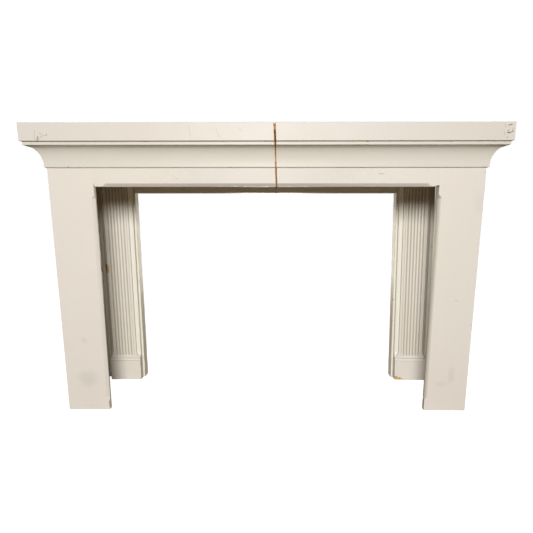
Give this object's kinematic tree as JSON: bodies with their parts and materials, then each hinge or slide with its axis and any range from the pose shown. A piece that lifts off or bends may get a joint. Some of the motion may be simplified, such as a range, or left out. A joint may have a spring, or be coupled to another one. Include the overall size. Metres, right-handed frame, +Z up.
{
  "type": "fireplace mantelpiece",
  "caption": "Painted pine fireplace surround with plain legs, a deep cavetto shelf and reeded posts standing back in the recess, sawn into two halves.",
  "frame": {"origin": "centre of the whole object's footprint, on the floor", "axes": "+X to the right seen from the front, +Y towards the wall, +Z up"},
  "size_m": [1.826, 0.493, 1.157],
  "materials": {
    "painted_pine": "worn warm white eggshell paint over pine, raw pine where it is sawn or chipped"
  },
  "bodies": {
    "root": {"leg_left": "painted_pine", "leg_right": "painted_pine", "frieze_left": "painted_pine", "frieze_right": "painted_pine", "return_left": "painted_pine", "return_right": "painted_pine", "slip_left": "painted_pine", "slip_right": "painted_pine", "rear_lintel_left": "painted_pine", "rear_lintel_right": "painted_pine", "post_left": "painted_pine", "post_right": "painted_pine", "cove_front_left": "painted_pine", "cove_front_right": "painted_pine", "cove_end_left": "painted_pine", "cove_end_right": "painted_pine", "fascia_front_left": "painted_pine", "fascia_front_right": "painted_pine", "fascia_end_left": "painted_pine", "fascia_end_right": "painted_pine", "shelf_left": "painted_pine", "shelf_right": "painted_pine"}
  },
  "joints": []
}
